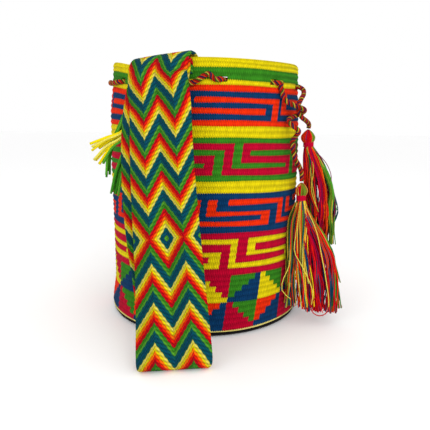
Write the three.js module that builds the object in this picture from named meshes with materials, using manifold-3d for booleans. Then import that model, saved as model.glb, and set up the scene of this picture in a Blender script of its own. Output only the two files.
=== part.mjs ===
// A wayuu mochila: a crocheted bucket bag, its woven shoulder strap, a laced drawcord and two tassels.
// Millimetres. +Z is up, the base stands on z = 0, and the strap hangs in front of the bag, on -Y.

import * as THREE from 'three';
import { mergeVertices } from 'three/addons/utils/BufferGeometryUtils.js';
import Module from 'manifold-3d';

const wasm = await Module();
wasm.setup();

// ---------------------------------------------------------------------------- driving dimensions

const bag = {
  radius: 128,
  height: 322,
  wall: 4,
  base: 4,
  cornerRadius: 14,
  taperStart: 200,
  rimTaper: 3,
  rimRounding: 1.8,
  segments: 72,
};

// The eyelets lie in a ring at one height, but for the left side, where the soft wall stands higher.
const eyelets = {
  count: 12,
  first: 70.7,
  height: 299,
  width: 17,
  tall: 7.2,
  raisedAt: -79.3,
  raisedBy: 4.4,
  raisedSpread: 22,
};

const strap = {
  width: 71,
  thickness: 3.2,
  frontAngle: -20.5,
  backAngle: 159.5,
  seamRadius: 127.5,
  foldStation: 16,
  foldSpread: 1.8,
  foldSwell: 0.1,
};

const cord = { diameter: 5.8, sides: 8, steps: 240 };

const yarn = { fringe: 4, binding: 1.5, stitch: 1.2 };

const rad = THREE.MathUtils.degToRad;

// ------------------------------------------------------------------------------------- materials

const finish = {
  crochet: new THREE.MeshStandardMaterial({ color: 0xd8cc18, roughness: 0.95, metalness: 0 }),
  woven: new THREE.MeshStandardMaterial({ color: 0x1f5c78, roughness: 0.9, metalness: 0 }),
  braid: new THREE.MeshStandardMaterial({ color: 0xa01828, roughness: 0.9, metalness: 0 }),
  tassel: new THREE.MeshStandardMaterial({ color: 0xd83014, roughness: 0.9, metalness: 0 }),
  binding: new THREE.MeshStandardMaterial({ color: 0xb80b48, roughness: 0.9, metalness: 0 }),
  fringe: new THREE.MeshStandardMaterial({ color: 0x4d9a28, roughness: 0.9, metalness: 0 }),
};

// --------------------------------------------------------------------------------------- helpers

// A point at an angle round the bag, counted from the front towards +X.
function around(angle, radius, height) {
  return new THREE.Vector3(radius * Math.sin(rad(angle)), -radius * Math.cos(rad(angle)), height);
}

function point([x, y, z]) {
  return new THREE.Vector3(x, y, z);
}

function toSolid(geometry) {
  const bare = geometry.clone();
  bare.deleteAttribute('normal');
  bare.deleteAttribute('uv');
  const merged = mergeVertices(bare, 1e-4);
  return new wasm.Manifold(new wasm.Mesh({
    numProp: 3,
    vertProperties: new Float32Array(merged.attributes.position.array),
    triVerts: new Uint32Array(merged.index.array),
  }));
}

function toGeometry(solid) {
  const mesh = solid.getMesh();
  const geometry = new THREE.BufferGeometry();
  geometry.setAttribute('position', new THREE.BufferAttribute(new Float32Array(mesh.vertProperties), 3));
  geometry.setIndex(new THREE.BufferAttribute(new Uint32Array(mesh.triVerts), 1));
  return geometry;
}

function joined(geometries) {
  return toGeometry(geometries.map(toSolid).reduce((whole, piece) => whole.add(piece)));
}

// Moves every vertex of a geometry to the place that a function gives for it.
function reshape(geometry, place) {
  const position = geometry.attributes.position;
  const vertex = new THREE.Vector3();
  for (let i = 0; i < position.count; i += 1) {
    vertex.fromBufferAttribute(position, i);
    const moved = place(vertex);
    position.setXYZ(i, moved.x, moved.y, moved.z);
  }
  geometry.computeVertexNormals();
  return geometry;
}

// The value of a list of numbers at t from 0 to 1, straight between its entries.
function between(list, t) {
  const place = Math.min(Math.max(t, 0), 1) * (list.length - 1);
  const index = Math.min(Math.floor(place), list.length - 2);
  return THREE.MathUtils.lerp(list[index], list[index + 1], place - index);
}

// A round tube of yarn or cord through hand-set points.
function tube(points, diameter, sides, steps) {
  const section = new THREE.Shape();
  for (let i = 0; i < sides; i += 1) {
    const angle = (2 * Math.PI * i) / sides;
    const corner = [Math.cos(angle), Math.sin(angle)].map((unit) => (unit * diameter) / 2);
    if (i === 0) section.moveTo(...corner);
    else section.lineTo(...corner);
  }
  section.closePath();
  const path = new THREE.CatmullRomCurve3(points, false, 'centripetal');
  return new THREE.ExtrudeGeometry(section, { steps, bevelEnabled: false, extrudePath: path });
}

// A flat band bent along stations. turn is the way its width runs, from +X towards +Y, tilt lifts
// that way's far end, and cup is how far it wraps the bag's round wall: 1 where it is sewn on.
// The band spreads a little where it is folded on the floor.
function band(stations, width, thickness, stepsEach) {
  const steps = (stations.length - 1) * stepsEach;
  const centre = new THREE.CatmullRomCurve3(stations.map((s) => s.at), false, 'centripetal');
  const [turns, tilts, cups] = ['turn', 'tilt', 'cup'].map((key) => stations.map((s) => s[key]));
  const flat = new THREE.BoxGeometry(width, thickness, 1, 6, 1, steps);
  return reshape(flat, ({ x, y, z }) => {
    const t = z + 0.5;
    const turn = rad(between(turns, t));
    const tilt = rad(between(tilts, t));
    const along = centre.getTangent(t);
    const across = new THREE.Vector3(
      Math.cos(turn) * Math.cos(tilt),
      Math.sin(turn) * Math.cos(tilt),
      Math.sin(tilt),
    );
    across.addScaledVector(along, -across.dot(along)).normalize();
    const face = along.clone().cross(across);
    const middle = centre.getPoint(t);
    const inward = new THREE.Vector3(-middle.x, -middle.y, 0).normalize();
    const fromFold = (t * (stations.length - 1) - strap.foldStation) / strap.foldSpread;
    const side = x * (1 + strap.foldSwell * Math.exp(-(fromFold ** 2)));
    const wrap = (between(cups, t) * side * side) / (2 * strap.seamRadius);
    return middle.addScaledVector(across, side).addScaledVector(face, y).addScaledVector(inward, wrap);
  });
}

// A round bundle of yarn whose middle and half widths in X and Y are set at stations, top first.
function bundle(stations, sides, stepsEach) {
  const steps = (stations.length - 1) * stepsEach;
  const middle = new THREE.CatmullRomCurve3(stations.map(([x, y, z]) => new THREE.Vector3(x, y, z)));
  const girth = new THREE.CatmullRomCurve3(stations.map((s) => new THREE.Vector3(s[3], s[4], 0)));
  const straight = new THREE.CylinderGeometry(1, 1, 1, sides, steps);
  straight.rotateX(Math.PI / 2);
  return reshape(straight, ({ x, y, z }) => {
    const t = 0.5 - z;
    const half = girth.getPoint(t);
    return middle.getPoint(t).add(new THREE.Vector3(x * half.x, y * half.y, 0));
  });
}

// -------------------------------------------------------------------------------------- bag body

// 1 where an angle is at a place round the bag, falling to 0 away from it.
function near(angle, place, spread) {
  const gap = THREE.MathUtils.euclideanModulo(angle - place + 180, 360) - 180;
  return Math.exp(-((gap / spread) ** 2));
}

// How far the soft rim stands above its plane: up at both sides, down where the strap pulls.
function rimShift(angle) {
  const raised = 4.5 * near(angle, -80, 28) + 4 * near(angle, 78, 26);
  return raised - 5.5 * near(angle, -38, 16) - 4 * near(angle, strap.backAngle, 18);
}

function eyeletHeight(angle) {
  const { height, raisedAt, raisedBy, raisedSpread } = eyelets;
  return height + raisedBy * near(angle, raisedAt, raisedSpread);
}

function wallProfile() {
  const { radius, height, wall, base, cornerRadius, taperStart, rimTaper, rimRounding } = bag;
  const rimRadius = radius - rimTaper;
  const innerCorner = cornerRadius - wall + 2;
  const levels = [250, 272, 290, 308];
  const lean = (z) => radius - (rimTaper * (z - taperStart)) / (height - taperStart);
  const profile = new THREE.Path();
  profile.moveTo(0, 0);
  profile.lineTo(radius - cornerRadius, 0);
  profile.absarc(radius - cornerRadius, cornerRadius, cornerRadius, -Math.PI / 2, 0, false);
  profile.lineTo(radius, taperStart);
  levels.forEach((z) => profile.lineTo(lean(z), z));
  profile.absarc(rimRadius - rimRounding, height - rimRounding, rimRounding, 0, Math.PI / 2, false);
  profile.absarc(rimRadius - wall + rimRounding, height - rimRounding, rimRounding, Math.PI / 2, Math.PI, false);
  [...levels].reverse().forEach((z) => profile.lineTo(lean(z) - wall, z));
  profile.lineTo(radius - wall, taperStart);
  profile.absarc(radius - wall - innerCorner, base + innerCorner, innerCorner, 0, -Math.PI / 2, true);
  profile.lineTo(0, base);
  return profile.getPoints(4);
}

// One rounded slot, long way round the bag, that cuts through the wall.
function eyeletCutter(angle) {
  const { width, tall } = eyelets;
  const reach = (width - tall) / 2;
  const outline = new THREE.Shape();
  outline.absarc(reach, 0, tall / 2, -Math.PI / 2, Math.PI / 2, false);
  outline.absarc(-reach, 0, tall / 2, Math.PI / 2, (3 * Math.PI) / 2, false);
  outline.closePath();
  const cutter = new THREE.ExtrudeGeometry(outline, { depth: 20, bevelEnabled: false, curveSegments: 6 });
  cutter.rotateX(Math.PI / 2);
  cutter.translate(0, -(bag.radius - 14), eyeletHeight(angle));
  cutter.rotateZ(rad(angle));
  return cutter;
}

function bagBody() {
  const cup = new THREE.LatheGeometry(wallProfile(), bag.segments);
  cup.rotateX(Math.PI / 2);
  const freeFrom = 200;
  reshape(cup, (v) => {
    const angle = THREE.MathUtils.radToDeg(Math.atan2(v.x, -v.y));
    const share = THREE.MathUtils.smoothstep(v.z, freeFrom, bag.height);
    return new THREE.Vector3(v.x, v.y, v.z + rimShift(angle) * share);
  });
  let solid = toSolid(cup);
  for (let i = 0; i < eyelets.count; i += 1) {
    solid = solid.subtract(toSolid(eyeletCutter(eyelets.first + (360 / eyelets.count) * i)));
  }
  return toGeometry(solid);
}

// ------------------------------------------------------------------------------------ the strap

// Stations over the bag's mouth are set by their distance from its axis along the strap's line,
// positive to the front, and their height.
function overMouth(distance, height, tilt = 0, cup = 0) {
  return { at: around(strap.frontAngle, distance, height), turn: strap.frontAngle, tilt, cup };
}

function hanging(x, y, z, turn, cup = 0, tilt = 0) {
  return { at: new THREE.Vector3(x, y, z), turn, tilt, cup };
}

const sewn = strap.seamRadius;

const strapRoute = [
  // The front end, sewn outside the rim, and the turn outwards over its own seam.
  overMouth(sewn, 304.5, 3, 1),
  overMouth(sewn, 310.5, 4, 1),
  overMouth(sewn + 0.8, 314, 5, 1),
  overMouth(130.6, 316.6, 5, 1),
  overMouth(133.4, 313.6, 5, 1),
  overMouth(134.4, 306, 5, 0.9),
  // The inner layer, down to the floor.
  hanging(-52.5, -130.5, 281, -20, 0.6, 3),
  hanging(-55, -137, 240, -17, 0.3),
  hanging(-52, -147, 190, -12, 0.1),
  hanging(-46, -157, 140, -6),
  hanging(-37, -168, 90, -1),
  hanging(-29, -180, 45, 4),
  hanging(-25.5, -189.5, 18, 7),
  hanging(-24.5, -195, 6, 8),
  // The fold on the floor.
  hanging(-24, -201, 1.9, 8),
  hanging(-23.5, -207, 5.5, 8),
  hanging(-23.5, -208, 14, 8),
  // The front layer, back up to the rim.
  hanging(-25.5, -199.5, 40, 6),
  hanging(-29, -186.5, 80, 2),
  hanging(-34, -172.5, 130, -3),
  hanging(-39, -158.5, 180, -9),
  hanging(-42.5, -148.5, 225, -14, 0.1),
  hanging(-45, -140.5, 270, -18, 0.35),
  overMouth(141.2, 302, 4, 0.7),
  overMouth(138.8, 313, 5, 0.8),
  overMouth(134.6, 319.6, 5, 0.8),
  // Over the front rim, across the mouth with a little slack, and over the back rim.
  overMouth(129, 322.8, 5, 0.7),
  overMouth(123, 323.8, 5, 0.5),
  overMouth(115.5, 323.2, 5, 0.3),
  overMouth(105, 319.4, 4, 0.1),
  overMouth(80, 311.5, 2),
  overMouth(40, 304),
  overMouth(0, 301.5),
  overMouth(-40, 303.5),
  overMouth(-80, 310.5),
  overMouth(-105, 318, 0, 0.2),
  overMouth(-116, 322.2, 0, 0.6),
  overMouth(-122.4, 323.6, 0, 1),
  overMouth(-126.2, 322, 0, 1),
  overMouth(-sewn, 317.4, 0, 1),
  overMouth(-sewn, 311, 0, 1),
  overMouth(-sewn, 304.5, 0, 1),
];

// A zigzag of thread that holds a strap end down, laid on the strap's outer face.
function stitching(angle, tilt) {
  const radius = strap.seamRadius + strap.thickness / 2 + yarn.stitch / 2 + 0.5;
  const points = [];
  const crossings = 14;
  for (let i = 0; i <= crossings; i += 1) {
    const share = i / crossings - 0.5;
    const away = share * 29;
    const height = 306.5 + (i % 2) * 4 + tilt * share;
    points.push(around(angle + away, radius, height));
  }
  return tube(points, yarn.stitch, 6, crossings * 4);
}

// A strap end's loose warp yarns: a root bar along the end, and strands that run out of it.
function fringe(rootFrom, rootTo, rootHeight, tips) {
  const radius = strap.seamRadius + 0.5;
  const root = [0, 0.5, 1].map((t) => around(THREE.MathUtils.lerp(rootFrom, rootTo, t), radius, rootHeight));
  const pieces = [tube(root, 3, 8, 8)];
  tips.forEach((tip, i) => {
    const start = THREE.MathUtils.lerp(rootFrom + 1, rootTo - 1, i / (tips.length - 1));
    const points = [around(start, radius, rootHeight), ...tip.map(point)];
    pieces.push(tube(points, yarn.fringe * 0.75, 6, 9));
  });
  return joined(pieces);
}

// The front fringe hangs down behind the strap and comes out at its left edge in three locks.
const frontTips = [
  [[-82, -105, 280], [-97, -104, 246], [-110, -99, 219], [-113, -98, 197]],
  [[-79, -107, 281], [-93, -105, 246], [-107, -100, 220], [-110, -99, 192]],
  [[-76, -109, 270], [-88, -111, 241], [-107, -106, 232], [-127, -100, 223]],
  [[-74, -110, 268], [-86, -112, 238], [-106, -107, 225], [-120, -101, 206]],
  [[-72, -111, 262], [-88, -110, 226], [-100, -105, 199], [-107, -101, 174]],
  [[-70, -113, 258], [-84, -112, 218], [-95, -107, 192], [-101, -104, 168]],
];

const backTips = [0, 1, 2, 3].map((i) => {
  const angle = 143.5 + 4 * i;
  return [[270, 0.2], [240, 0.6], [214 - 6 * (i % 2), 1.4]].map(([height, stray]) => {
    return around(angle + stray * (i - 1.5), 130.3, height).toArray();
  });
});

// -------------------------------------------------------------------------------- the drawcord

// The cord's distance from the bag's axis when it lies against the wall, and where it crosses it.
const cordRadius = { inside: 117.8, through: 123.6, outside: 129.2, slackInside: 116 };

// From an eyelet's middle, the places round the bag where the cord's two bends begin and end.
const crossing = { bend: 2, clear: 4.6 };

function cordThroughEyelet(angle, goesIn) {
  const { inside, through, outside } = cordRadius;
  const ease = 1.4;
  const radii = [outside, outside - ease, through, inside + ease, inside];
  const places = [-crossing.clear, -crossing.bend, 0, crossing.bend, crossing.clear];
  if (!goesIn) radii.reverse();
  return places.map((place, i) => around(angle + place, radii[i], eyeletHeight(angle)));
}

// The stretch after each eyelet: straight across inside, or round the wall outside.
function cordAfterEyelet(angle, isInside, heights) {
  const spacing = 360 / eyelets.count;
  if (isInside) {
    const middle = angle + spacing / 2;
    return [around(middle, cordRadius.slackInside, eyeletHeight(middle) - 1.5)];
  }
  return heights.map((height, i) => {
    const place = angle + (spacing * (i + 1)) / (heights.length + 1);
    const rise = eyeletHeight(place) - eyelets.height;
    return around(place, cordRadius.outside + 0.2, height + rise);
  });
}

// From the upper tassel's head up through the knot to the first eyelet.
const upperTail = [
  [133.5, -48.8, 248.9], [133.6, -50.4, 252.6], [128.1, -61.9, 257], [119.6, -73.4, 261.5],
  [115.6, -76.8, 266.5], [114, -78.6, 274], [117.7, -72.5, 282], [123, -61.4, 289.5],
  [123.2, -53.6, 295.8], [119.2, -50.4, 298.6],
];

// From the last eyelet, once round the other tail in the knot, and down to the lower tassel.
const lowerTail = [
  [90.4, -91.4, 296.6], [92.2, -91.4, 290], [95.2, -91.3, 281.5], [101.7, -89.8, 276.8],
  [111, -86.9, 273.4], [120, -83.1, 270.4], [121.5, -74.2, 267.6], [113, -69.8, 263],
  [104.2, -77.9, 259.4], [102.6, -86.1, 254.6], [108.5, -90.4, 249.6], [114.5, -86.6, 244.4],
  [112.4, -81, 239], [108.4, -80.7, 232.6], [109, -82.6, 225], [111.7, -81, 214],
  [120.9, -70.9, 200], [124, -66.4, 191], [124.8, -66, 182.9],
];

function cordRoute() {
  const points = upperTail.map(point);
  const usual = [298, 297.4, 298];
  const underStrap = [295.8, 295, 304];
  const frontStretch = 9;
  for (let i = 0; i < eyelets.count; i += 1) {
    const angle = eyelets.first + (360 / eyelets.count) * i;
    const goesIn = i % 2 === 0;
    points.push(...cordThroughEyelet(angle, goesIn));
    if (i < eyelets.count - 1) {
      points.push(...cordAfterEyelet(angle, goesIn, i === frontStretch ? underStrap : usual));
    }
  }
  points.push(...lowerTail.map(point));
  return points;
}

// ---------------------------------------------------------------------------------- the tassels

// Each bundle: a round head, a neck for the binding, and the skirt of cut yarn ends.
const upperBundle = [
  [133.5, -48.7, 246.4, 1.2, 1.2], [133.5, -48.5, 243.2, 5.8, 5.8], [133.6, -48, 237.5, 8.6, 8.6],
  [134, -48, 232, 6.6, 6.6], [134.6, -48, 228.5, 4, 4], [136, -47.6, 224, 7.5, 6.5],
  [141.5, -46, 213, 12.5, 9], [147, -44.4, 195, 16, 11], [152, -42.4, 175, 18.5, 12],
  [155.5, -40, 152, 19.5, 12.5], [157, -37, 124, 18.5, 12], [158.5, -35, 96, 16.5, 11],
];

const lowerBundle = [
  [124.8, -66, 180.4, 1.2, 1.2], [124.9, -66, 177.4, 5.2, 5.2], [125, -66, 171.6, 7.5, 7.5],
  [125, -66, 166, 5.8, 5.8], [124.9, -66.2, 161.5, 3.6, 3.6], [124.4, -67, 156, 6.4, 6],
  [123.4, -70, 132, 10.5, 10], [124.2, -74, 92, 11.5, 11], [126, -79, 50, 15, 12],
  [127.2, -81.6, 26, 16.5, 12],
];

const lowerSideBundle = [
  [125, -66.6, 157.5, 3.4, 3.4], [132, -69, 138, 8.5, 8], [146, -72.4, 114, 11.5, 9.5],
  [156.5, -74, 90, 14.5, 10.5], [161, -75, 60, 16.5, 11.5], [163.5, -75, 18, 18, 12],
];

function bindingRing([x, y, z, halfWidth]) {
  const ring = new THREE.TorusGeometry(halfWidth + 0.9 + yarn.binding, yarn.binding, 8, 24);
  ring.translate(x, y, z);
  return ring;
}

// -------------------------------------------------------------------------------------- assembly

const mochila = new THREE.Group();

function add(name, geometry, material) {
  const mesh = new THREE.Mesh(geometry, material);
  mesh.name = name;
  mochila.add(mesh);
}

add('bag_body', bagBody(), finish.crochet);
add('shoulder_strap', band(strapRoute, strap.width, strap.thickness, 3), finish.woven);
add('front_strap_stitching', stitching(strap.frontAngle, 4), finish.binding);
add('back_strap_stitching', stitching(strap.backAngle, 0), finish.binding);
add('front_strap_fringe', fringe(-38, -25, 301.6, frontTips), finish.fringe);
add('back_strap_fringe', fringe(142, 157, 301.6, backTips), finish.fringe);
add('drawcord', tube(cordRoute(), cord.diameter, cord.sides, cord.steps), finish.braid);
add('upper_tassel', bundle(upperBundle, 20, 3), finish.tassel);
add('upper_tassel_binding', bindingRing(upperBundle[4]), finish.binding);
add('lower_tassel', joined([bundle(lowerBundle, 20, 3), bundle(lowerSideBundle, 20, 3)]), finish.tassel);
add('lower_tassel_binding', bindingRing(lowerBundle[4]), finish.binding);

export default mochila;
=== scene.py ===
# %% [markdown]
# # A crocheted mochila
# A mochila is a round shoulder bag of tight cotton crochet, made on the Caribbean coast of South
# America. This notebook builds one around a fixed frame: the bag, its woven strap, the drawcord that
# closes it, and the tassels and loose yarns. Every length is in metres, z is up, and the bag stands
# on z = 0 with its strap hanging in front, on the -y side.

# %% The fixed frame
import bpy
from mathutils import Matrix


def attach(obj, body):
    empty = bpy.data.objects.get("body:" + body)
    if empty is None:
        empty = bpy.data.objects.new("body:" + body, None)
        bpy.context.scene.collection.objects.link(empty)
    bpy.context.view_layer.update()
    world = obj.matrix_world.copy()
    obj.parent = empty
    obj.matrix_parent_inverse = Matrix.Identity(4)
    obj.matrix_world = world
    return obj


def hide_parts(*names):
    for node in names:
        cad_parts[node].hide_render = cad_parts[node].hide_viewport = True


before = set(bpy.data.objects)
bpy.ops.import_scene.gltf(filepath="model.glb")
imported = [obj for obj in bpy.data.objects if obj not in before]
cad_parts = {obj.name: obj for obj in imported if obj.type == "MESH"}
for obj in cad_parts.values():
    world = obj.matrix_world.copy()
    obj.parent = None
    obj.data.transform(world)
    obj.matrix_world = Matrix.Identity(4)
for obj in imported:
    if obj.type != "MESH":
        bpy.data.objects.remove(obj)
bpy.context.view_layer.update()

# %% Tools that every cell uses
import math
import random
import bisect
import bmesh
import bpy
from mathutils import Matrix, Vector

MM = 0.001

# %% [markdown]
# ## Where we look from
# The bag is seen from the front, from a little below its rim, so the camera looks slightly down at
# the middle of the bag. A camera's rotation is built here from two turns: one about x, which tips it
# from straight down up to the horizon, and a very small roll about its own line of sight.

# %% Camera
CAMERA_PLACE = Vector((0.016, -0.6313, 0.2451))
LOOK_DOWN = math.radians(10.71)
ROLL = math.radians(0.67)

camera_data = bpy.data.cameras.new("camera")
camera_data.sensor_width = 36
camera_data.lens = 37.67
camera_data.clip_end = 100
camera = bpy.data.objects.new("camera", camera_data)
turn = Matrix.Rotation(math.radians(90) - LOOK_DOWN, 4, "X") @ Matrix.Rotation(ROLL, 4, "Z")
camera.matrix_world = Matrix.Translation(CAMERA_PLACE) @ turn
bpy.context.scene.collection.objects.link(camera)
bpy.context.scene.camera = camera
print("camera at", [round(x, 3) for x in CAMERA_PLACE])

# %% [markdown]
# ## Soft light
# Yarn looks best in broad, soft light: each stitch keeps a small shadow beside it, and nothing
# glares. A white world does most of the work. One large lamp in front and to one side gives
# the round wall its shape, and a weaker one fills the other side.

# %% Lights and world
def soft_lamp(name, place, target, size, energy):
    data = bpy.data.lights.new(name, "AREA")
    data.shape = "DISK"
    data.size = size
    data.energy = energy
    lamp = bpy.data.objects.new(name, data)
    aim = (Vector(target) - Vector(place)).to_track_quat("-Z", "Y")
    lamp.matrix_world = Matrix.Translation(place) @ aim.to_matrix().to_4x4()
    bpy.context.scene.collection.objects.link(lamp)
    return lamp


soft_lamp("key_lamp", (0.5, -1.8, 0.95), (0, 0, 0.15), 1.1, 14)
soft_lamp("fill_lamp", (-1.2, -1.4, 0.5), (0, 0, 0.15), 1.2, 6)

world = bpy.data.worlds.new("white_room")
world.use_nodes = True
world.node_tree.nodes["Background"].inputs["Color"].default_value = (1, 1, 1, 1)
world.node_tree.nodes["Background"].inputs["Strength"].default_value = 1.0
bpy.context.scene.world = world
bpy.context.scene.view_settings.view_transform = "Standard"

# %% [markdown]
# ## Colours of the yarn
# The bag is made from a handful of strongly dyed cottons. Colours are easiest to choose the way a
# screen shows them, but a shader works in linear light, so one small function changes each of them.

# %% Yarn colours
def dye(red, green, blue):
    """A colour given as the screen shows it, from 0 to 255, in linear light."""
    def linear(value):
        share = value / 255
        return share / 12.92 if share <= 0.04045 else ((share + 0.055) / 1.055) ** 2.4
    return (linear(red), linear(green), linear(blue), 1.0)


YELLOW = dye(228, 208, 6)
GREEN = dye(52, 130, 26)
ORANGE = dye(238, 46, 4)
BLUE = dye(4, 56, 100)
MAGENTA = dye(188, 0, 44)
BLACK = dye(20, 16, 18)
CREAM = dye(240, 226, 130)
STRAW = dye(220, 208, 84)
TEAL = dye(2, 82, 86)
OCHRE = dye(208, 176, 60)
MOSS = dye(54, 84, 24)
RUST = dye(206, 60, 14)
PLUM = dye(120, 4, 60)
OLIVE = dye(104, 128, 30)
PETROL = dye(2, 70, 96)
NAVY = dye(6, 44, 84)
CRIMSON = dye(184, 0, 24)
SCARLET = dye(228, 22, 6)
GOLD = dye(250, 208, 20)
AMBER = dye(250, 112, 4)
LEAF = dye(78, 150, 40)
print("yellow in linear light", [round(x, 3) for x in YELLOW])

# %% [markdown]
# ## One shader group for cotton
# Crochet, strap, cord and tassels are all plied cotton. They share three things: fine fibres that
# scatter the light, a dye that took a little unevenly, and painted shade in the grooves, where less
# light gets in. One node group makes these from the dye's colour, a groove mask and a noise scale,
# so each material only says what is different about it.

# %% Node helpers
def link(tree, source, target):
    tree.links.new(source, target)


def node(tree, kind, **settings):
    made = tree.nodes.new(kind)
    for key, value in settings.items():
        setattr(made, key, value)
    return made


def put(tree, target, value):
    """Feeds a socket from another socket, or sets it to a plain value."""
    if isinstance(value, bpy.types.NodeSocket):
        link(tree, value, target)
    else:
        target.default_value = value


def maths(tree, operation, *values):
    made = node(tree, "ShaderNodeMath", operation=operation)
    for i, value in enumerate(values):
        put(tree, made.inputs[i], value)
    return made.outputs[0]


def new_group(name, inputs, outputs):
    tree = bpy.data.node_groups.new(name, "ShaderNodeTree")
    for socket, kind, value in inputs:
        made = tree.interface.new_socket(socket, in_out="INPUT", socket_type=kind)
        if value is not None:
            made.default_value = value
    for socket, kind in outputs:
        tree.interface.new_socket(socket, in_out="OUTPUT", socket_type=kind)
    return tree, node(tree, "NodeGroupInput"), node(tree, "NodeGroupOutput")


# %% The cotton group
def cotton_group():
    tree, given, made = new_group(
        "cotton_yarn",
        [("Dye", "NodeSocketColor", (1, 1, 1, 1)), ("Groove", "NodeSocketFloat", 0.0),
         ("Relief", "NodeSocketFloat", 0.5), ("Fibre Scale", "NodeSocketFloat", 900.0),
         ("Unevenness", "NodeSocketFloat", 0.12), ("Shade", "NodeSocketFloat", 0.45)],
        [("Colour", "NodeSocketColor"), ("Roughness", "NodeSocketFloat"), ("Height", "NodeSocketFloat")],
    )
    place = node(tree, "ShaderNodeTexCoord").outputs["Object"]
    fibres = node(tree, "ShaderNodeTexNoise")
    fibres.inputs["Detail"].default_value = 3
    link(tree, place, fibres.inputs["Vector"])
    link(tree, given.outputs["Fibre Scale"], fibres.inputs["Scale"])
    patches = node(tree, "ShaderNodeTexNoise")
    patches.inputs["Scale"].default_value = 130
    link(tree, place, patches.inputs["Vector"])
    drift = maths(tree, "SUBTRACT", maths(tree, "ADD", fibres.outputs[0], patches.outputs[0]), 1.0)
    uneven = maths(tree, "MULTIPLY_ADD", drift, given.outputs["Unevenness"], 1.0)
    # Painted shade: the dye is darkened by the groove mask times Shade.
    dark = maths(tree, "MULTIPLY", given.outputs["Groove"], given.outputs["Shade"])
    value = maths(tree, "MULTIPLY", uneven, maths(tree, "SUBTRACT", 1.0, dark))
    tone = node(tree, "ShaderNodeHueSaturation")
    link(tree, given.outputs["Dye"], tone.inputs["Color"])
    link(tree, value, tone.inputs["Value"])
    link(tree, tone.outputs[0], made.inputs["Colour"])
    rough = maths(tree, "MULTIPLY_ADD", fibres.outputs[0], 0.16, 0.78)
    link(tree, rough, made.inputs["Roughness"])
    fuzz = maths(tree, "MULTIPLY", fibres.outputs[0], 0.25)
    link(tree, maths(tree, "ADD", given.outputs["Relief"], fuzz), made.inputs["Height"])
    return tree


COTTON = cotton_group()
print("cotton group inputs", [s.name for s in COTTON.interface.items_tree])

# %% [markdown]
# ## A group for twisted yarn
# Yarn is two or more plies twisted round each other, so its surface shows slanting ridges. On a
# piece whose UV map runs along the yarn in u and around or across it in v, a ridge is where
# u / pitch + v is a whole number. A sine of that sum gives the ridges, and its low part the grooves.

# %% The ply group
def ply_group():
    tree, given, made = new_group(
        "plied_twist",
        [("UV", "NodeSocketVector", None), ("Pitch", "NodeSocketFloat", 0.004),
         ("Plies", "NodeSocketFloat", 2.0)],
        [("Ridge", "NodeSocketFloat"), ("Groove", "NodeSocketFloat")],
    )
    split = node(tree, "ShaderNodeSeparateXYZ")
    link(tree, given.outputs["UV"], split.inputs[0])
    along = maths(tree, "DIVIDE", split.outputs[0], given.outputs["Pitch"])
    around = maths(tree, "MULTIPLY", split.outputs[1], given.outputs["Plies"])
    phase = maths(tree, "MULTIPLY", maths(tree, "ADD", along, around), 2 * math.pi)
    ridge = maths(tree, "MULTIPLY_ADD", maths(tree, "SINE", phase), 0.5, 0.5)
    link(tree, ridge, made.inputs["Ridge"])
    # The low part of the ridge is painted shade: the materials darken the dye in these grooves.
    low = maths(tree, "POWER", maths(tree, "SUBTRACT", 1.0, ridge), 4.0)
    link(tree, low, made.inputs["Groove"])
    return tree


PLIES = ply_group()
print("ply group inputs", [s.name for s in PLIES.interface.items_tree])

# %% [markdown]
# ## Materials
# Each material reads the dye of its stitch or strand from an attribute on the mesh, and the yarn's
# direction from its own UV map. What stays in the material is the shader itself, with a little
# sheen on it, because cotton has a soft bright edge where its loose fibres catch the light.

# %% Yarn material
def yarn_material(name, pitch, plies, strength, distance, unevenness=0.14, shade=0.5, fibre=900.0):
    material = bpy.data.materials.new(name)
    material.use_nodes = True
    tree = material.node_tree
    shader = tree.nodes["Principled BSDF"]
    dyed = node(tree, "ShaderNodeAttribute", attribute_name="dye")
    painted_shade = node(tree, "ShaderNodeAttribute", attribute_name="painted_shade")
    uv = node(tree, "ShaderNodeUVMap", uv_map="yarn")
    twist = node(tree, "ShaderNodeGroup", node_tree=PLIES)
    link(tree, uv.outputs[0], twist.inputs["UV"])
    twist.inputs["Pitch"].default_value = pitch
    twist.inputs["Plies"].default_value = plies
    cotton = node(tree, "ShaderNodeGroup", node_tree=COTTON)
    link(tree, dyed.outputs["Color"], cotton.inputs["Dye"])
    # Painted shade: the ply grooves and the shade stored on each point darken the dye in the cotton group.
    deep = maths(tree, "MULTIPLY_ADD", twist.outputs["Groove"], 0.5, painted_shade.outputs["Fac"])
    link(tree, maths(tree, "MINIMUM", deep, 1.0), cotton.inputs["Groove"])
    link(tree, twist.outputs["Ridge"], cotton.inputs["Relief"])
    cotton.inputs["Unevenness"].default_value = unevenness
    cotton.inputs["Shade"].default_value = shade
    cotton.inputs["Fibre Scale"].default_value = fibre
    bump = node(tree, "ShaderNodeBump")
    bump.inputs["Strength"].default_value = strength
    bump.inputs["Distance"].default_value = distance
    link(tree, cotton.outputs["Height"], bump.inputs["Height"])
    link(tree, cotton.outputs["Colour"], shader.inputs["Base Color"])
    link(tree, cotton.outputs["Roughness"], shader.inputs["Roughness"])
    link(tree, bump.outputs[0], shader.inputs["Normal"])
    shader.inputs["Specular IOR Level"].default_value = 0.06
    shader.inputs["Sheen Weight"].default_value = 0.015
    shader.inputs["Sheen Roughness"].default_value = 0.5
    return material


CROCHET = yarn_material("crochet_cotton", 1.0, 1.0, 0.5, 0.0006, shade=0.5)
WOVEN = yarn_material("woven_cotton", 0.0064, 1.0, 1.0, 0.0009, shade=0.75, unevenness=0.25)
BRAID = yarn_material("cord_cotton", 0.0024, 2.0, 0.6, 0.0005, shade=0.6)
STRANDS = yarn_material("loose_yarn", 0.0022, 2.0, 0.6, 0.0004, shade=0.5)
print("materials", [m.name for m in bpy.data.materials if m.users or m.use_nodes])
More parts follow.
